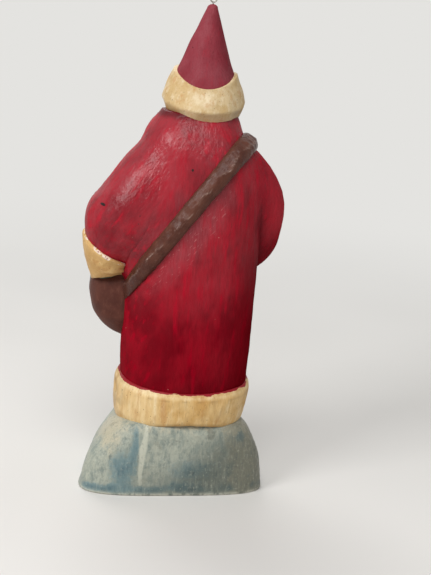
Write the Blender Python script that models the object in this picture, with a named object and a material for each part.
"""Carved wooden figurine of a robed, bearded old man with a shoulder bag, standing on a mound of snow.

It is glued up from separately carved blocks: a mound, a coat block with a fur hem round its foot,
two sleeves on dowels, cuffs and mittens on wrist dowels, a bag on a dowel, a strap over the right
shoulder, and a head that carries the beard, the hat and its fur brim.

Lengths are metres and +Z is up. The origin is on the underside, straight below the figure's axis.
The face looks along -Y, so the figure's left hand is at +X.
"""

import math
from collections import namedtuple

import bmesh
import bpy
import numpy as np
from mathutils import Vector

# A level cross-section of a carved block: its rise over the section below, an oval of unlike depth
# before and behind its centre, and how far it leans to the left.
Oval = namedtuple("Oval", "rise half_width back front lean", defaults=(0.0,))
# A cross-section of a limb: the step to its centre from the section before it, the way that the limb
# slopes there in hundredths, and its two radii.
Limb = namedtuple("Limb", "step_x step_y step_z slope half_width half_depth")
# An edge of a fur band: its rise over the edge below, and how far it stands out from the coat.
Band = namedtuple("Band", "rise proud")

# Fits
GLUE_GAP = 0.0003
DOWEL_GAP = 0.0002

# Snow mound, which narrows towards the front
MOUND_SHIFT = 0.0058
MOUND_SQUARENESS = 3.6
MOUND_TAPER = 0.28
MOUND_EDGE = 0.0010
MOUND_FOOT = Oval(rise=0.0000, half_width=0.0540, back=0.0365, front=0.0510)
MOUND_LOW = Oval(rise=0.0120, half_width=0.0528, back=0.0360, front=0.0508)
MOUND_SIDE = Oval(rise=0.0120, half_width=0.0495, back=0.0352, front=0.0498)
MOUND_HIGH = Oval(rise=0.0105, half_width=0.0425, back=0.0342, front=0.0478)
MOUND_BROW = Oval(rise=0.0080, half_width=0.0360, back=0.0325, front=0.0440)
MOUND_TOP = Oval(rise=0.0045, half_width=0.0265, back=0.0290, front=0.0360)

# Screws that hold the mound to the coat
SCREW_SPREAD = 0.0220
SCREW_LENGTH = 0.0680
SCREW_SHANK_RADIUS = 0.0021
SCREW_HEAD_RADIUS = 0.0042
SCREW_HEAD_HEIGHT = 0.0028
SCREW_SINK = 0.0015
SCREW_SLOT_WIDTH = 0.0010
SCREW_SLOT_DEPTH = 0.0012

# Coat, let into the mound's top by its seat. The rises of its sections share out its height.
COAT_HEIGHT = 0.1980
COAT_SQUARENESS = 2.5
COAT_SEAT = 0.0110
COAT_FOOT = Oval(rise=0.0000, half_width=0.0380, back=0.0305, front=0.0305)
COAT_HEM = Oval(rise=0.0320, half_width=0.0395, back=0.0325, front=0.0325)
COAT_HIP = Oval(rise=0.0440, half_width=0.0405, back=0.0335, front=0.0330)
COAT_WAIST = Oval(rise=0.0380, half_width=0.0400, back=0.0345, front=0.0335)
COAT_CHEST = Oval(rise=0.0350, half_width=0.0385, back=0.0345, front=0.0325)
COAT_SHOULDER = Oval(rise=0.0220, half_width=0.0332, back=0.0322, front=0.0280, lean=0.0010)
COAT_NECK = Oval(rise=0.0150, half_width=0.0290, back=0.0266, front=0.0205, lean=0.0038)
COAT_COLLAR = Oval(rise=0.0120, half_width=0.0228, back=0.0185, front=0.0110, lean=0.0020)

# Fur hem, whose edges rise and fall twice round the figure
HEM_SEAT = 0.0050
HEM_BOTTOM = Band(rise=0.0000, proud=0.0008)
HEM_ROUND = Band(rise=0.0015, proud=0.0032)
HEM_BULGE = Band(rise=0.0065, proud=0.0040)
HEM_UPPER = Band(rise=0.0100, proud=0.0029)
HEM_TOP = Band(rise=0.0070, proud=0.0009)
HEM_BOTTOM_WAVE_HEIGHT = 0.0025
HEM_TOP_WAVE_HEIGHT = 0.0017

# Fur strip down the front of the coat, which starts so far below the shoulder
FRONT_FUR_DROP = 0.0570
FRONT_FUR_WIDTH = 0.0120
FRONT_FUR_PROUD = 0.0022

# Strap: it lies where a plane cuts the coat's surface, and the plane falls to the left and the front
STRAP_WIDTH = 0.0110
STRAP_PROUD = 0.0046
STRAP_SINK = 0.0016
STRAP_DROP = 0.0310
STRAP_SIDE_SLOPE = 1.37
STRAP_BACK_SLOPE = 0.444
STRAP_BACK_END = math.radians(12)
STRAP_FRONT_END = math.radians(318)

# Arms. A sleeve is stepped in from above the coat's hip at the shoulder's height, a cuff from the
# sleeve's end, a mitten from the cuff's end and a thumb from the back of the hand.
LEFT_SLEEVE_TOP = Limb(step_x=-0.0205, step_y=0.0030, step_z=0.0025, slope=(58, -5, -81),
                       half_width=0.0158, half_depth=0.0190)
LEFT_SLEEVE_UPPER = Limb(step_x=0.0100, step_y=0.0000, step_z=-0.0176, slope=(58, -5, -81),
                         half_width=0.0190, half_depth=0.0240)
LEFT_SLEEVE_MIDDLE = Limb(step_x=0.0114, step_y=0.0000, step_z=-0.0182, slope=(56, -8, -82),
                          half_width=0.0208, half_depth=0.0248)
LEFT_SLEEVE_ELBOW = Limb(step_x=0.0079, step_y=-0.0020, step_z=-0.0094, slope=(47, -20, -86),
                         half_width=0.0194, half_depth=0.0218)
LEFT_SLEEVE_END = Limb(step_x=0.0032, step_y=-0.0040, step_z=-0.0173, slope=(45, -30, -84),
                       half_width=0.0166, half_depth=0.0172)
LEFT_CUFF_TOP = Limb(step_x=0.0000, step_y=-0.0001, step_z=-0.0005, slope=(47, -30, -84),
                     half_width=0.0174, half_depth=0.0180)
LEFT_CUFF_MIDDLE = Limb(step_x=-0.0017, step_y=-0.0019, step_z=-0.0075, slope=(15, -25, -95),
                        half_width=0.0150, half_depth=0.0165)
LEFT_CUFF_END = Limb(step_x=-0.0013, step_y=-0.0020, step_z=-0.0100, slope=(-5, -20, -97),
                     half_width=0.0112, half_depth=0.0145)
LEFT_MITTEN_WRIST = Limb(step_x=0.0005, step_y=0.0010, step_z=0.0060, slope=(-5, -35, -93),
                         half_width=0.0085, half_depth=0.0095)
LEFT_MITTEN_HAND = Limb(step_x=0.0000, step_y=-0.0150, step_z=-0.0130, slope=(-15, -78, -58),
                        half_width=0.0098, half_depth=0.0098)
LEFT_MITTEN_KNUCKLE = Limb(step_x=-0.0025, step_y=-0.0120, step_z=-0.0080, slope=(-35, -55, -76),
                           half_width=0.0085, half_depth=0.0100)
LEFT_MITTEN_TIP = Limb(step_x=-0.0045, step_y=-0.0040, step_z=-0.0090, slope=(-40, -20, -90),
                       half_width=0.0050, half_depth=0.0065)
LEFT_THUMB_ROOT = Limb(step_x=-0.0045, step_y=0.0020, step_z=-0.0005, slope=(-55, -70, -40),
                       half_width=0.0038, half_depth=0.0040)
LEFT_THUMB_TIP = Limb(step_x=-0.0050, step_y=-0.0100, step_z=-0.0035, slope=(-30, -85, -40),
                      half_width=0.0036, half_depth=0.0036)
RIGHT_SLEEVE_TOP = Limb(step_x=0.0235, step_y=0.0020, step_z=-0.0020, slope=(-66, -5, -75),
                        half_width=0.0120, half_depth=0.0170)
RIGHT_SLEEVE_UPPER = Limb(step_x=-0.0110, step_y=-0.0010, step_z=-0.0090, slope=(-55, -10, -83),
                          half_width=0.0165, half_depth=0.0190)
RIGHT_SLEEVE_MIDDLE = Limb(step_x=-0.0100, step_y=-0.0020, step_z=-0.0180, slope=(-20, -35, -92),
                           half_width=0.0172, half_depth=0.0180)
RIGHT_SLEEVE_ELBOW = Limb(step_x=0.0010, step_y=-0.0100, step_z=-0.0245, slope=(10, -70, -70),
                          half_width=0.0178, half_depth=0.0174)
RIGHT_SLEEVE_FOREARM = Limb(step_x=0.0060, step_y=-0.0170, step_z=-0.0085, slope=(40, -90, 5),
                            half_width=0.0142, half_depth=0.0142)
RIGHT_SLEEVE_END = Limb(step_x=0.0070, step_y=-0.0095, step_z=0.0070, slope=(65, -72, 22),
                        half_width=0.0122, half_depth=0.0122)
RIGHT_CUFF_TOP = Limb(step_x=0.0002, step_y=-0.0002, step_z=0.0001, slope=(65, -72, 22),
                      half_width=0.0140, half_depth=0.0140)
RIGHT_CUFF_MIDDLE = Limb(step_x=0.0035, step_y=-0.0033, step_z=0.0017, slope=(72, -66, 28),
                         half_width=0.0140, half_depth=0.0140)
RIGHT_CUFF_END = Limb(step_x=0.0043, step_y=-0.0030, step_z=0.0020, slope=(80, -55, 30),
                      half_width=0.0120, half_depth=0.0120)
RIGHT_MITTEN_WRIST = Limb(step_x=-0.0040, step_y=0.0028, step_z=-0.0016, slope=(75, -60, 28),
                          half_width=0.0090, half_depth=0.0090)
RIGHT_MITTEN_HAND = Limb(step_x=0.0115, step_y=-0.0058, step_z=0.0043, slope=(92, -25, 30),
                         half_width=0.0088, half_depth=0.0105)
RIGHT_MITTEN_KNUCKLE = Limb(step_x=0.0080, step_y=-0.0005, step_z=0.0030, slope=(94, 15, 30),
                            half_width=0.0075, half_depth=0.0105)
RIGHT_MITTEN_TIP = Limb(step_x=0.0070, step_y=0.0025, step_z=0.0015, slope=(90, 42, 10),
                        half_width=0.0045, half_depth=0.0070)
RIGHT_THUMB_ROOT = Limb(step_x=-0.0010, step_y=0.0030, step_z=0.0050, slope=(55, 0, 83),
                        half_width=0.0040, half_depth=0.0042)
RIGHT_THUMB_TIP = Limb(step_x=0.0060, step_y=-0.0005, step_z=0.0080, slope=(65, 10, 76),
                       half_width=0.0034, half_depth=0.0034)

# Dowels
ARM_DOWEL_RADIUS = 0.0030
ARM_DOWEL_LENGTH = 0.0280
ARM_DOWEL_DROP = 0.0270
WRIST_DOWEL_RADIUS = 0.0025
WRIST_DOWEL_SEAT = 0.0060
NECK_DOWEL_RADIUS = 0.0040
NECK_DOWEL_LENGTH = 0.0300
HAT_DOWEL_RADIUS = 0.0040
HAT_DOWEL_LENGTH = 0.0280
BAG_DOWEL_RADIUS = 0.0030
BAG_DOWEL_LENGTH = 0.0200

# Bag, whose bottom hangs so far below the left cuff, and whose middle lies inside the coat's hip
BAG_HANG = 0.0410
BAG_INSET = 0.0065
BAG_CENTRE_Y = -0.0150
BAG_SQUARENESS = 2.3
BAG_BOTTOM = Oval(rise=0.0000, half_width=0.0040, back=0.0040, front=0.0040)
BAG_LOWER = Oval(rise=0.0065, half_width=0.0140, back=0.0115, front=0.0115)
BAG_BELLY = Oval(rise=0.0100, half_width=0.0215, back=0.0175, front=0.0175)
BAG_WIDEST = Oval(rise=0.0105, half_width=0.0250, back=0.0200, front=0.0200)
BAG_UPPER = Oval(rise=0.0100, half_width=0.0248, back=0.0195, front=0.0195)
BAG_TOP = Oval(rise=0.0065, half_width=0.0215, back=0.0165, front=0.0165)

# Head, whose chin lies so far below the shoulder's height
HEAD_SQUARENESS = 2.2
HEAD_CENTRE_Y = -0.0030
HEAD_SINK = 0.0020
HEAD_CHIN = Oval(rise=0.0000, half_width=0.0110, back=0.0100, front=0.0130)
HEAD_JAW = Oval(rise=0.0090, half_width=0.0175, back=0.0160, front=0.0190)
HEAD_CHEEK = Oval(rise=0.0110, half_width=0.0200, back=0.0185, front=0.0215)
HEAD_BROW = Oval(rise=0.0110, half_width=0.0200, back=0.0190, front=0.0205)
HEAD_CROWN = Oval(rise=0.0100, half_width=0.0185, back=0.0180, front=0.0180)
NOSE_LENGTH = 0.0095
NOSE_RADIUS = 0.0030
NOSE_PROUD = 0.0038
NOSE_TIP_DROP = 0.0032

# Beard, which hangs below the chin, and moustache, which is set below the cheeks
BEARD_CENTRE_Y = -0.0200
BEARD_DROP = 0.0350
BEARD_TIP = Oval(rise=0.0000, half_width=0.0030, back=0.0080, front=0.0165)
BEARD_LOWER = Oval(rise=0.0090, half_width=0.0095, back=0.0100, front=0.0190)
BEARD_MIDDLE = Oval(rise=0.0170, half_width=0.0170, back=0.0120, front=0.0180)
BEARD_UPPER = Oval(rise=0.0170, half_width=0.0196, back=0.0140, front=0.0115)
BEARD_SIDE = Oval(rise=0.0220, half_width=0.0184, back=0.0150, front=0.0030)
FACE_WINDOW_LIFT = 0.0050
FACE_WINDOW_HALF_WIDTH = 0.0146
FACE_WINDOW_HALF_HEIGHT = 0.0125
MOUSTACHE_DROP = 0.0085
MOUSTACHE_SPAN = 0.0270
MOUSTACHE_DROOP = 0.0050
MOUSTACHE_SWEEP = 0.0040
MOUSTACHE_RADIUS = 0.0034
MOUSTACHE_TIP_SHARE = 0.35
MOUSTACHE_MIDDLE_SHARE = 0.75

# Hat on the head's crown, and its fur brim, which stands out from the cone and dips behind
HAT_CENTRE_Y = -0.0020
HAT_HEIGHT = 0.0502
HAT_RADIUS = 0.0213
HAT_TIP_RADIUS = 0.0024
BRIM_DROP = 0.0032
BRIM_HEIGHT = 0.0240
BRIM_BOTTOM_TILT = 0.0036
BRIM_TOP_TILT = 0.0070
BRIM_BOTTOM_PROUD = 0.0009
BRIM_BULGE_PROUD = 0.0037
BRIM_TOP_PROUD = 0.0019
BRIM_ROUNDING = 0.0006

# Screw eye in the hat's tip
EYE_RING_RADIUS = 0.0019
EYE_WIRE_RADIUS = 0.00045
EYE_SHANK_LENGTH = 0.0090
EYE_LIFT = 0.0012

# Boots, of which only the toes show under the hem
BOOT_SEAT = 0.0045
BOOT_SPREAD = 0.0150
BOOT_HALF_WIDTH = 0.0096
BOOT_HEIGHT = 0.0130
BOOT_TOE_DIP = 0.0010
BOOT_TOE_DEPTH = -0.0465
BOOT_HEEL_DEPTH = -0.0180

# Facets
COAT_STEPS = 2
OVAL_POINTS = 32
LIMB_POINTS = 18
DOWEL_POINTS = 16


# Finishes

def finish(name, colour, roughness, metallic=0.0):
    """A plain paint or metal of one colour."""
    made = bpy.data.materials.new(name)
    made.use_nodes = True
    shader = made.node_tree.nodes["Principled BSDF"]
    shader.inputs["Base Color"].default_value = (*colour, 1.0)
    shader.inputs["Roughness"].default_value = roughness
    shader.inputs["Metallic"].default_value = metallic
    return made


# Shapes

def smooth_rows(rows, steps):
    """Rows read along a Catmull-Rom curve through the given rows, with this many steps between two rows."""
    rows = np.array(rows, float)
    padded = np.vstack([2 * rows[0] - rows[1], rows, 2 * rows[-1] - rows[-2]])
    t = (np.arange(steps) / steps)[:, None]
    spans = [
        b + 0.5 * t * ((c - a) + t * ((2 * a - 5 * b + 4 * c - d) + t * (3 * b - a - 3 * c + d)))
        for a, b, c, d in zip(padded, padded[1:], padded[2:], padded[3:])
    ]
    return np.vstack([*spans, rows[-1:]])


def stacked(floor, *rows, total=None):
    """Rows whose rises are added up from the floor, so that the first value of each is its height.

    Given a total, the rises are its shares.
    """
    rows = np.array(rows, float)
    rises = np.cumsum(rows[:, 0])
    rows[:, 0] = floor + (rises if total is None else rises * total / rises[-1])
    return rows


def stepped(start, rows):
    """Limb rows whose steps are added up from the start: centre, run and radii in one array."""
    steps = np.array([row[0:3] for row in rows])
    runs = np.array([row.slope for row in rows])
    radii = np.array([row[4:6] for row in rows])
    return np.hstack([np.array(start) + np.cumsum(steps, axis=0), runs, radii])


def signed_power(value, power):
    return np.sign(value) * np.abs(value) ** power


def oval_ring(row, squareness, grow=0.0, centre=(0.0, 0.0), points=OVAL_POINTS):
    """Points of one level oval, counted anticlockwise from +X."""
    height, half_width, back, front, lean = row
    angle = np.arange(points) * 2 * math.pi / points
    across = signed_power(np.cos(angle), 2 / squareness)
    along = signed_power(np.sin(angle), 2 / squareness)
    depth = np.where(along > 0, back, front) + grow
    x = centre[0] + lean + (half_width + grow) * across
    y = centre[1] + depth * along
    return np.column_stack([x, y, np.full(points, height)])


def skin(rings):
    """A closed mesh over rings of points, with a flat cap on each end."""
    mesh = bmesh.new()
    loops = [[mesh.verts.new(point) for point in ring] for ring in rings]
    for low, high in zip(loops, loops[1:]):
        for i, corner in enumerate(low):
            mesh.faces.new((low[i - 1], corner, high[i], high[i - 1]))
    mesh.faces.new(loops[0])
    mesh.faces.new(loops[-1])
    bmesh.ops.recalc_face_normals(mesh, faces=mesh.faces)
    return mesh


def block(rows, squareness, steps, grow=0.0, centre=(0.0, 0.0), points=OVAL_POINTS):
    """A carved block through level ovals. Grown, it is larger all round by that much."""
    read = smooth_rows(rows, steps)
    read[0, 0] -= grow
    read[-1, 0] += grow
    return skin([oval_ring(row, squareness, grow, centre, points) for row in read])


def limb(rows, steps, grow=0.0, rounded=False, points=LIMB_POINTS):
    """A limb through its sections, which turn with the way it runs. A rounded limb ends in a dome."""
    read = smooth_rows(rows, steps)
    centres = read[:, 0:3]
    runs = read[:, 3:6] / np.linalg.norm(read[:, 3:6], axis=1, keepdims=True)
    across, deep = read[:, 6] + grow, read[:, 7] + grow
    angle = np.arange(points) * 2 * math.pi / points
    side = np.array([0.0, 1.0, 0.0]) if abs(runs[0, 1]) < 0.7 else np.array([0.0, 0.0, 1.0])
    rings = []
    for centre, run, wide, thick in zip(centres, runs, across, deep):
        side = side - run * side.dot(run)
        side /= np.linalg.norm(side)
        other = np.cross(run, side)
        ring = np.outer(np.cos(angle) * thick, side) + np.outer(np.sin(angle) * wide, other)
        rings.append(centre + ring)
    rings[0] = rings[0] - runs[0] * grow
    rings[-1] = rings[-1] + runs[-1] * grow
    if rounded:
        last, tip, reach = rings[-1], runs[-1], min(across[-1], deep[-1])
        middle = last.mean(axis=0)
        for turn in (math.radians(40), math.radians(72)):
            rings.append(middle + (last - middle) * math.cos(turn) + tip * reach * math.sin(turn))
    return skin(rings)


def rod(start, end, radius, points=DOWEL_POINTS):
    """A round rod between two points."""
    start, end = np.array(start), np.array(end)
    run = (end - start) / np.linalg.norm(end - start)
    return limb([(*start, *run, radius, radius), (*end, *run, radius, radius)], 1, points=points)


def stretched(start, end, extra):
    """The same line, longer by extra at both ends."""
    start, end = np.array(start), np.array(end)
    run = (end - start) / np.linalg.norm(end - start)
    return start - run * extra, end + run * extra


# Objects

def add(name, mesh, material=None):
    """A part of the figurine, or a hidden cutter if it has no material."""
    data = bpy.data.meshes.new(name)
    mesh.to_mesh(data)
    mesh.free()
    made = bpy.data.objects.new(name, data)
    bpy.context.scene.collection.objects.link(made)
    if material is None:
        made.hide_render = True
        made.display_type = "WIRE"
        return made
    data.materials.append(material)
    data.shade_smooth()
    data.set_sharp_from_angle(angle=math.radians(35))
    return made


def join(target, mesh, operation="DIFFERENCE"):
    """Cuts the mesh from the target, or with UNION adds it."""
    cutter = add(f"{target.name}_tool_{len(target.modifiers)}", mesh)
    step = target.modifiers.new(cutter.name, "BOOLEAN")
    step.operation = operation
    step.solver = "EXACT"
    step.object = cutter


# Snow mound

MOUND_ROWS = stacked(0.0, MOUND_FOOT, MOUND_LOW, MOUND_SIDE, MOUND_HIGH, MOUND_BROW, MOUND_TOP)
MOUND_HEIGHT = MOUND_ROWS[-1, 0]


def mound_mesh(grow=0.0):
    """Level ovals, narrowed towards the front and shifted off the figure's axis."""
    read = smooth_rows(MOUND_ROWS, 2)
    read[-1, 0] += grow
    rings = []
    for row in read:
        ring = oval_ring(row, MOUND_SQUARENESS, grow)
        ring[:, 0] *= 1.0 + MOUND_TAPER * ring[:, 1] / MOUND_FOOT.front
        ring[:, 0] += MOUND_SHIFT * (1.0 - row[0] / MOUND_HEIGHT)
        rings.append(ring)
    return skin(rings)


def screw_mesh(side, grow=0.0, mouth=0.0):
    """A countersunk screw with its head down. With a mouth, the hole below the head is part of it."""
    neck, head = SCREW_SHANK_RADIUS + grow, SCREW_HEAD_RADIUS + grow
    profile = [(0.0, head), (SCREW_HEAD_HEIGHT, neck), (SCREW_LENGTH + grow, neck)]
    if mouth:
        profile.insert(0, (-mouth, head))
    angle = np.arange(DOWEL_POINTS) * 2 * math.pi / DOWEL_POINTS
    circle = np.column_stack([np.cos(angle), np.sin(angle), np.zeros(DOWEL_POINTS)])
    seat = np.array([side * SCREW_SPREAD, 0.0, SCREW_SINK])
    return skin([seat + circle * radius + [0.0, 0.0, rise] for rise, radius in profile])


def make_mound(paint, steel):
    mound = add("snow_base", mound_mesh(), paint)
    edge = mound.modifiers.new("worn_edge", "BEVEL")
    edge.width = MOUND_EDGE
    edge.segments = 2
    edge.angle_limit = math.radians(50)
    for side, name in ((1, "base_screw_left"), (-1, "base_screw_right")):
        join(mound, screw_mesh(side, DOWEL_GAP, mouth=2 * SCREW_SINK))
        screw = add(name, screw_mesh(side), steel)
        slot = bmesh.new()
        bmesh.ops.create_cube(slot, size=1.0)
        bmesh.ops.scale(
            slot, verts=slot.verts,
            vec=(4 * SCREW_HEAD_RADIUS, SCREW_SLOT_WIDTH, 2 * SCREW_SLOT_DEPTH),
        )
        bmesh.ops.translate(slot, verts=slot.verts, vec=Vector((side * SCREW_SPREAD, 0.0, SCREW_SINK)))
        join(screw, slot)
    return mound


# Places of the blocks, each taken from the one that carries it

def arm_rows(side, sleeve, cuff, mitten, thumb):
    """Rows of a sleeve, its cuff, its mitten and its thumb, each stepped out from the one before."""
    sleeve = stepped((side * COAT_HIP.half_width, 0.0, SHOULDER_HEIGHT), sleeve)
    cuff = stepped(sleeve[-1, 0:3], cuff)
    mitten = stepped(cuff[-1, 0:3], mitten)
    return sleeve, cuff, mitten, stepped(mitten[1, 0:3], thumb)


COAT_ROWS = stacked(
    MOUND_HEIGHT - COAT_SEAT,
    COAT_FOOT, COAT_HEM, COAT_HIP, COAT_WAIST, COAT_CHEST, COAT_SHOULDER, COAT_NECK, COAT_COLLAR,
    total=COAT_HEIGHT,
)
SHOULDER_HEIGHT = COAT_ROWS[5, 0]
HEAD_ROWS = stacked(SHOULDER_HEIGHT - HEAD_SINK, HEAD_CHIN, HEAD_JAW, HEAD_CHEEK, HEAD_BROW, HEAD_CROWN)
CHIN_HEIGHT, CHEEK_HEIGHT, BROW_HEIGHT, CROWN_HEIGHT = HEAD_ROWS[[0, 2, 3, 4], 0]
HAT_SEAM_HEIGHT = CROWN_HEIGHT + GLUE_GAP
LEFT_ARM = arm_rows(
    1, (LEFT_SLEEVE_TOP, LEFT_SLEEVE_UPPER, LEFT_SLEEVE_MIDDLE, LEFT_SLEEVE_ELBOW, LEFT_SLEEVE_END),
    (LEFT_CUFF_TOP, LEFT_CUFF_MIDDLE, LEFT_CUFF_END),
    (LEFT_MITTEN_WRIST, LEFT_MITTEN_HAND, LEFT_MITTEN_KNUCKLE, LEFT_MITTEN_TIP),
    (LEFT_THUMB_ROOT, LEFT_THUMB_TIP),
)
RIGHT_ARM = arm_rows(
    -1, (RIGHT_SLEEVE_TOP, RIGHT_SLEEVE_UPPER, RIGHT_SLEEVE_MIDDLE, RIGHT_SLEEVE_ELBOW,
         RIGHT_SLEEVE_FOREARM, RIGHT_SLEEVE_END),
    (RIGHT_CUFF_TOP, RIGHT_CUFF_MIDDLE, RIGHT_CUFF_END),
    (RIGHT_MITTEN_WRIST, RIGHT_MITTEN_HAND, RIGHT_MITTEN_KNUCKLE, RIGHT_MITTEN_TIP),
    (RIGHT_THUMB_ROOT, RIGHT_THUMB_TIP),
)
BAG_ROWS = stacked(
    LEFT_ARM[1][-1, 2] - BAG_HANG, BAG_BOTTOM, BAG_LOWER, BAG_BELLY, BAG_WIDEST, BAG_UPPER, BAG_TOP,
)


# Coat


def coat_mesh(grow=0.0):
    return block(COAT_ROWS, COAT_SQUARENESS, COAT_STEPS, grow)


def coat_size(height):
    """The coat's half width, its depth behind and before the axis, and its lean, at this height."""
    fine = smooth_rows(COAT_ROWS, COAT_STEPS)
    return [np.interp(height, fine[:, 0], fine[:, i]) for i in (1, 2, 3, 4)]


def coat_point(angle, height, proud=0.0):
    """The point of the coat's surface at this height and angle, counted anticlockwise from +X."""
    half_width, back, front, lean = coat_size(height)
    depth = back if math.sin(angle) > 0 else front
    x = lean + (half_width + proud) * float(signed_power(math.cos(angle), 2 / COAT_SQUARENESS))
    y = (depth + proud) * float(signed_power(math.sin(angle), 2 / COAT_SQUARENESS))
    return np.array([x, y, height])


def arm_dowel_line(side):
    middle = coat_point(0.0 if side > 0 else math.pi, SHOULDER_HEIGHT - ARM_DOWEL_DROP)
    reach = np.array([ARM_DOWEL_LENGTH / 2, 0.0, 0.0])
    return middle - side * reach, middle + side * reach


def bag_dowel_line():
    middle = coat_point(math.radians(-10), BAG_ROWS[2, 0])
    reach = np.array([BAG_DOWEL_LENGTH / 2, 0.0, 0.0])
    return middle - reach, middle + reach


def neck_dowel_line():
    middle = np.array([0.0, HEAD_CENTRE_Y, CHIN_HEIGHT])
    reach = np.array([0.0, 0.0, NECK_DOWEL_LENGTH / 2])
    return middle - reach, middle + reach


def hat_dowel_line():
    middle = np.array([0.0, HAT_CENTRE_Y, HAT_SEAM_HEIGHT])
    reach = np.array([0.0, 0.0, HAT_DOWEL_LENGTH / 2])
    return middle - reach, middle + reach


def drill(target, line, radius):
    """A blind hole for a dowel, looser than the dowel all round and at both ends."""
    join(target, rod(*stretched(*line, GLUE_GAP), radius + DOWEL_GAP))


def make_coat(paint):
    coat = add("coat", coat_mesh(), paint)
    join(coat, mound_mesh(GLUE_GAP))
    join(coat, head_mesh(GLUE_GAP))
    for side in (1, -1):
        join(coat, screw_mesh(side, DOWEL_GAP, mouth=2 * SCREW_SINK))
        drill(coat, arm_dowel_line(side), ARM_DOWEL_RADIUS)
    drill(coat, bag_dowel_line(), BAG_DOWEL_RADIUS)
    drill(coat, neck_dowel_line(), NECK_DOWEL_RADIUS)
    return coat


# Fur hem and front strip

HEM_ROWS = stacked(MOUND_HEIGHT - HEM_SEAT, HEM_BOTTOM, HEM_ROUND, HEM_BULGE, HEM_UPPER, HEM_TOP)


def hem_mesh():
    """A band round the coat's foot, whose lower edge dips at the sides and whose upper edge rises there."""
    angle = np.arange(OVAL_POINTS) * 2 * math.pi / OVAL_POINTS
    across = signed_power(np.cos(angle), 2 / COAT_SQUARENESS)
    along = signed_power(np.sin(angle), 2 / COAT_SQUARENESS)
    low, high = HEM_ROWS[0, 0], HEM_ROWS[-1, 0]
    rings = []
    for level, proud in smooth_rows(HEM_ROWS, 2):
        share = (level - low) / (high - low)
        wave = HEM_TOP_WAVE_HEIGHT * share - HEM_BOTTOM_WAVE_HEIGHT * (1.0 - share)
        height = level + wave * np.cos(2 * angle)
        half_width, back, front, lean = coat_size(height)
        depth = np.where(along > 0, back, front) + proud
        rings.append(np.column_stack([lean + (half_width + proud) * across, depth * along, height]))
    return skin(rings)


def make_hem(paint):
    hem = add("hem_fur", hem_mesh(), paint)
    join(hem, coat_mesh(GLUE_GAP))
    join(hem, mound_mesh(GLUE_GAP))
    for side in (1, -1):
        join(hem, boot_mesh(side, GLUE_GAP))
    return hem


def front_fur_mesh():
    """A strip that follows the coat's front, from the beard down to the hem."""
    top, low = SHOULDER_HEIGHT - FRONT_FUR_DROP, HEM_ROWS[-1, 0] + HEM_TOP_WAVE_HEIGHT
    heights = np.linspace(top, low, 10)
    half = FRONT_FUR_WIDTH / 2
    rings = []
    for height in heights:
        front = coat_point(-math.pi / 2, height)[1]
        sunk, face = front + 2 * FRONT_FUR_PROUD, front - FRONT_FUR_PROUD
        soft = 0.7 * half
        outline = [
            (-half, sunk), (half, sunk), (half, front - 0.3 * FRONT_FUR_PROUD),
            (soft, face), (-soft, face), (-half, front - 0.3 * FRONT_FUR_PROUD),
        ]
        rings.append(np.array([(x, y, height) for x, y in outline]))
    return skin(rings)


def make_front_fur(paint):
    fur = add("front_fur", front_fur_mesh(), paint)
    join(fur, coat_mesh(GLUE_GAP))
    join(fur, strap_mesh(GLUE_GAP))
    join(fur, limb(RIGHT_ARM[2], 3, GLUE_GAP, rounded=True))
    return fur


# Strap

def strap_height(angle):
    """Height at which the strap's plane meets the coat at this angle, by halving."""
    low, high = COAT_ROWS[1, 0], COAT_ROWS[-1, 0]
    for _ in range(40):
        middle = (low + high) / 2
        x, y, _ = coat_point(angle, middle)
        if middle < SHOULDER_HEIGHT - STRAP_DROP - STRAP_SIDE_SLOPE * x + STRAP_BACK_SLOPE * y:
            low = middle
        else:
            high = middle
    return (low + high) / 2


def strap_mesh(grow=0.0):
    """A half-round moulding bent along the coat, over the right shoulder."""
    angles = np.linspace(STRAP_BACK_END, STRAP_FRONT_END, 34)
    heights = [strap_height(angle) for angle in angles]
    path = np.array([coat_point(angle, height) for angle, height in zip(angles, heights)])
    runs = np.gradient(path, axis=0)
    runs /= np.linalg.norm(runs, axis=1, keepdims=True)
    turn = np.linspace(0, math.pi, 8)
    half, tall = STRAP_WIDTH / 2 + grow, STRAP_PROUD + grow
    rings = []
    step = 0.1 * STRAP_WIDTH
    for angle, height, point, run in zip(angles, heights, path, runs):
        up = coat_point(angle, height + step) - coat_point(angle, height - step)
        round_ = coat_point(angle + step, height) - coat_point(angle - step, height)
        outward = np.cross(round_, up)
        outward -= run * outward.dot(run)
        outward /= np.linalg.norm(outward)
        wide = np.cross(outward, run)
        arch = np.outer(np.cos(turn) * half, wide) + np.outer(np.sin(turn) * tall, outward)
        foot = np.array([-half, half])[:, None] * wide - (STRAP_SINK + grow) * outward
        rings.append(point + np.vstack([arch, foot]))
    rings[0] = rings[0] - runs[0] * grow
    rings[-1] = rings[-1] + runs[-1] * grow
    return skin(rings)


def make_strap(paint):
    strap = add("shoulder_strap", strap_mesh(), paint)
    join(strap, coat_mesh(GLUE_GAP))
    return strap


# Arms

def wrist_dowel_line(sleeve, mitten):
    """From inside the sleeve's end, through the cuff, to the middle of the hand."""
    wrist, hand = sleeve[-1, 0:3], mitten[1, 0:3]
    run = (hand - wrist) / np.linalg.norm(hand - wrist)
    return wrist - run * WRIST_DOWEL_SEAT, hand


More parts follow.
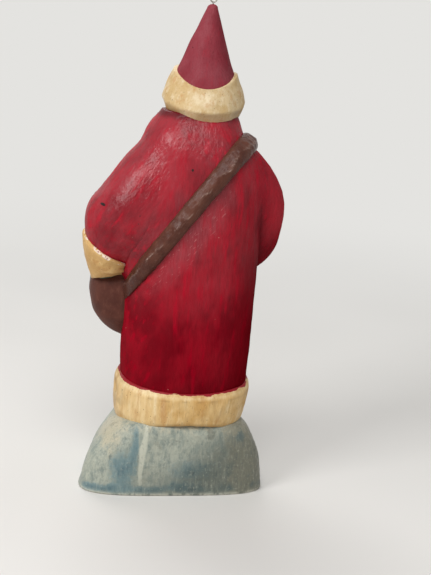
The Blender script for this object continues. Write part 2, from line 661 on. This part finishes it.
def make_arm(side, name, rows, red, fur, glove, wood):
    sleeve, cuff, mitten, thumb = rows
    arm = add(f"{name}_sleeve", limb(sleeve, 4), red)
    join(arm, coat_mesh(GLUE_GAP))
    join(arm, strap_mesh(GLUE_GAP))
    drill(arm, arm_dowel_line(side), ARM_DOWEL_RADIUS)
    add(f"{name}_arm_dowel", rod(*arm_dowel_line(side), ARM_DOWEL_RADIUS), wood)

    band = add(f"{name}_cuff", limb(cuff, 3), fur)
    join(band, limb(sleeve, 4, GLUE_GAP))
    join(band, coat_mesh(GLUE_GAP))
    join(band, strap_mesh(GLUE_GAP))

    hand = add(f"{name}_mitten", limb(mitten, 3, rounded=True), glove)
    join(hand, limb(thumb, 2, rounded=True, points=12), "UNION")
    join(hand, limb(cuff, 3, GLUE_GAP))
    join(hand, coat_mesh(GLUE_GAP))
    join(hand, strap_mesh(GLUE_GAP))

    wrist = wrist_dowel_line(sleeve, mitten)
    for drilled in (arm, band, hand):
        drill(drilled, wrist, WRIST_DOWEL_RADIUS)
    add(f"{name}_wrist_dowel", rod(*wrist, WRIST_DOWEL_RADIUS), wood)


# Bag

def bag_mesh(grow=0.0):
    return block(BAG_ROWS, BAG_SQUARENESS, 2, grow, (COAT_HIP.half_width - BAG_INSET, BAG_CENTRE_Y))


def make_bag(paint, wood):
    bag = add("shoulder_bag", bag_mesh(), paint)
    join(bag, coat_mesh(GLUE_GAP))
    join(bag, strap_mesh(GLUE_GAP))
    _, cuff, mitten, thumb = LEFT_ARM
    join(bag, limb(cuff, 3, GLUE_GAP))
    join(bag, limb(mitten, 3, GLUE_GAP, rounded=True))
    join(bag, limb(thumb, 2, GLUE_GAP, rounded=True, points=12))
    drill(bag, bag_dowel_line(), BAG_DOWEL_RADIUS)
    add("bag_dowel", rod(*bag_dowel_line(), BAG_DOWEL_RADIUS), wood)
    return bag


# Head, beard and moustache

def head_mesh(grow=0.0):
    return block(HEAD_ROWS, HEAD_SQUARENESS, 2, grow, (0.0, HEAD_CENTRE_Y))


def make_head(skin_paint, wood):
    head = add("head", head_mesh(), skin_paint)
    face = HEAD_CENTRE_Y - HEAD_CHEEK.front
    low = CHEEK_HEIGHT - NOSE_TIP_DROP
    thin = 0.5 * NOSE_RADIUS
    bridge = (0.0, face + NOSE_RADIUS, low + NOSE_LENGTH, 0.0, -0.3, -0.95, thin, thin)
    ball = face - NOSE_PROUD + NOSE_RADIUS
    tip = (0.0, ball, low, 0.0, -0.3, -0.95, NOSE_RADIUS, NOSE_RADIUS)
    join(head, limb([bridge, tip], 2, rounded=True, points=12), "UNION")
    drill(head, neck_dowel_line(), NECK_DOWEL_RADIUS)
    drill(head, hat_dowel_line(), HAT_DOWEL_RADIUS)
    add("neck_dowel", rod(*neck_dowel_line(), NECK_DOWEL_RADIUS), wood)
    return head


def beard_mesh(grow=0.0):
    rows = stacked(
        CHIN_HEIGHT - BEARD_DROP, BEARD_TIP, BEARD_LOWER, BEARD_MIDDLE, BEARD_UPPER, BEARD_SIDE,
    )
    return block(rows, HEAD_SQUARENESS, 2, grow, (0.0, BEARD_CENTRE_Y))


def moustache_mesh(grow=0.0):
    """Two drooping lobes that meet under the nose."""
    front = BEARD_CENTRE_Y - BEARD_UPPER.front
    half = MOUSTACHE_SPAN / 2
    rows = []
    shares = {-1.0: MOUSTACHE_TIP_SHARE, -0.55: 1.0, 0.0: MOUSTACHE_MIDDLE_SHARE, 0.55: 1.0,
              1.0: MOUSTACHE_TIP_SHARE}
    for out, share in shares.items():
        thick = MOUSTACHE_RADIUS * share
        height = CHEEK_HEIGHT - MOUSTACHE_DROP - MOUSTACHE_DROOP * out**2
        depth = front + MOUSTACHE_SWEEP * out**2
        rows.append((half * out, depth, height, 1.0, 0.0, -0.5 * out, thick, thick))
    return limb(rows, 3, grow, points=12)


def face_window_mesh():
    """An oval plug along Y that leaves the face clear of the beard."""
    angle = np.arange(24) * 2 * math.pi / 24
    x = FACE_WINDOW_HALF_WIDTH * np.cos(angle)
    z = CHEEK_HEIGHT + FACE_WINDOW_LIFT + FACE_WINDOW_HALF_HEIGHT * np.sin(angle)
    half = BEARD_LOWER.front + HEAD_CHEEK.front
    ends = (BEARD_CENTRE_Y - half, BEARD_CENTRE_Y + half)
    return skin([np.column_stack([x, np.full(24, y), z]) for y in ends])


def make_beard(white):
    beard = add("beard", beard_mesh(), white)
    join(beard, face_window_mesh())
    join(beard, coat_mesh(GLUE_GAP))
    join(beard, head_mesh(GLUE_GAP))
    join(beard, strap_mesh(GLUE_GAP))
    join(beard, moustache_mesh(GLUE_GAP))
    moustache = add("moustache", moustache_mesh(), white)
    join(moustache, head_mesh(GLUE_GAP))


# Hat

def hat_radius(height):
    share = (height - HAT_SEAM_HEIGHT) / HAT_HEIGHT
    return HAT_RADIUS + (HAT_TIP_RADIUS - HAT_RADIUS) * share


def circle_at(height, radius, points=OVAL_POINTS):
    angle = np.arange(points) * 2 * math.pi / points
    x, y = radius * np.cos(angle), HAT_CENTRE_Y + radius * np.sin(angle)
    return np.column_stack([x, y, np.broadcast_to(height, points)])


def hat_mesh(grow=0.0):
    """A cone with a domed tip."""
    heights = np.linspace(HAT_SEAM_HEIGHT - grow, HAT_SEAM_HEIGHT + HAT_HEIGHT - HAT_TIP_RADIUS, 4)
    rings = [circle_at(height, hat_radius(height) + grow) for height in heights]
    end = hat_radius(heights[-1]) + grow
    for turn in (math.radians(35), math.radians(70)):
        rings.append(circle_at(heights[-1] + HAT_TIP_RADIUS * math.sin(turn), end * math.cos(turn)))
    return skin(rings)


def brim_mesh():
    """A fat band on the cone, lower behind than in front."""
    angle = np.arange(OVAL_POINTS) * 2 * math.pi / OVAL_POINTS
    low = BROW_HEIGHT - BRIM_DROP
    bottom = low - BRIM_BOTTOM_TILT * np.sin(angle)
    top = low + BRIM_HEIGHT - BRIM_TOP_TILT * np.sin(angle)
    narrow = hat_radius(low + BRIM_HEIGHT) + BRIM_TOP_PROUD
    bulge = HAT_RADIUS + BRIM_BULGE_PROUD
    keys = ((0.0, HAT_RADIUS + BRIM_BOTTOM_PROUD), (0.16, bulge - BRIM_ROUNDING), (0.34, bulge),
            (0.66, (bulge + narrow) / 2 + BRIM_ROUNDING), (1.0, narrow))
    slope = (narrow - bulge) / BRIM_HEIGHT
    rings = []
    for share, radius in smooth_rows(keys, 2):
        height = bottom + (top - bottom) * share
        level = low + BRIM_HEIGHT * share
        rings.append(circle_at(height, radius + slope * (height - level)))
    return skin(rings)


def make_hat(red, fur, wood, steel):
    hat = add("hat_cone", hat_mesh(), red)
    drill(hat, hat_dowel_line(), HAT_DOWEL_RADIUS)
    add("hat_dowel", rod(*hat_dowel_line(), HAT_DOWEL_RADIUS), wood)
    eye_line = eye_shank_line()
    drill(hat, eye_line, EYE_WIRE_RADIUS)

    brim = add("hat_brim", brim_mesh(), fur)
    join(brim, hat_mesh(GLUE_GAP))
    join(brim, head_mesh(GLUE_GAP))
    join(brim, coat_mesh(GLUE_GAP))
    join(brim, beard_mesh(GLUE_GAP))

    eye = add("hat_screw_eye", rod(*eye_line, EYE_WIRE_RADIUS, points=10), steel)
    join(eye, ring_mesh(), "UNION")


def eye_shank_line():
    top = np.array([0.0, HAT_CENTRE_Y, HAT_SEAM_HEIGHT + HAT_HEIGHT + EYE_LIFT])
    return top - [0.0, 0.0, EYE_SHANK_LENGTH], top


def ring_mesh():
    """The eye's loop, which stands across the figure on the shank's end."""
    top = eye_shank_line()[1]
    centre = top + [0.0, 0.0, EYE_RING_RADIUS - 0.2 * EYE_WIRE_RADIUS]
    mesh = bmesh.new()
    rounds, sides = 20, 8
    loops = []
    for i in range(rounds):
        turn = 2 * math.pi * i / rounds
        outward = np.array([math.cos(turn), 0.0, math.sin(turn)])
        loop = []
        for j in range(sides):
            spin = 2 * math.pi * j / sides
            offset = outward * math.cos(spin) + np.array([0.0, math.sin(spin), 0.0])
            loop.append(mesh.verts.new(centre + outward * EYE_RING_RADIUS + offset * EYE_WIRE_RADIUS))
        loops.append(loop)
    for i in range(rounds):
        for j in range(sides):
            mesh.faces.new((loops[i - 1][j - 1], loops[i - 1][j], loops[i][j], loops[i][j - 1]))
    bmesh.ops.recalc_face_normals(mesh, faces=mesh.faces)
    return mesh


# Boots

def boot_mesh(side, grow=0.0):
    x = side * BOOT_SPREAD
    floor = MOUND_HEIGHT - BOOT_SEAT
    heel = (x, BOOT_HEEL_DEPTH, floor, 0.0, -1.0, 0.0, BOOT_HALF_WIDTH, BOOT_HEIGHT)
    toe = BOOT_TOE_DEPTH + BOOT_HALF_WIDTH
    ball = (x, toe, floor - BOOT_TOE_DIP, 0.0, -1.0, -0.1, BOOT_HALF_WIDTH, 0.8 * BOOT_HEIGHT)
    return limb([heel, ball], 3, grow, rounded=True)


def make_boots(black):
    for side, name in ((1, "left_boot"), (-1, "right_boot")):
        boot = add(name, boot_mesh(side), black)
        join(boot, mound_mesh(GLUE_GAP))
        join(boot, coat_mesh(GLUE_GAP))


def main():
    for old in list(bpy.data.objects):
        bpy.data.objects.remove(old)

    red = finish("red_paint", (0.27, 0.022, 0.030), 0.38)
    cream = finish("cream_paint", (0.68, 0.46, 0.20), 0.55)
    brown = finish("brown_paint", (0.12, 0.045, 0.032), 0.45)
    snow = finish("snow_paint", (0.27, 0.33, 0.32), 0.50)
    flesh = finish("flesh_paint", (0.62, 0.33, 0.22), 0.50)
    white = finish("white_paint", (0.72, 0.68, 0.58), 0.60)
    green = finish("green_paint", (0.035, 0.060, 0.040), 0.50)
    black = finish("black_paint", (0.02, 0.018, 0.017), 0.40)
    wood = finish("bare_lime_wood", (0.58, 0.42, 0.26), 0.75)
    steel = finish("steel", (0.45, 0.43, 0.40), 0.40, metallic=1.0)

    make_mound(snow, steel)
    make_coat(red)
    make_hem(cream)
    make_boots(black)
    make_strap(brown)
    make_arm(1, "left", LEFT_ARM, red, cream, green, wood)
    make_arm(-1, "right", RIGHT_ARM, red, cream, green, wood)
    make_bag(brown, wood)
    make_head(flesh, wood)
    make_beard(white)
    make_hat(red, cream, wood, steel)
    make_front_fur(cream)


main()
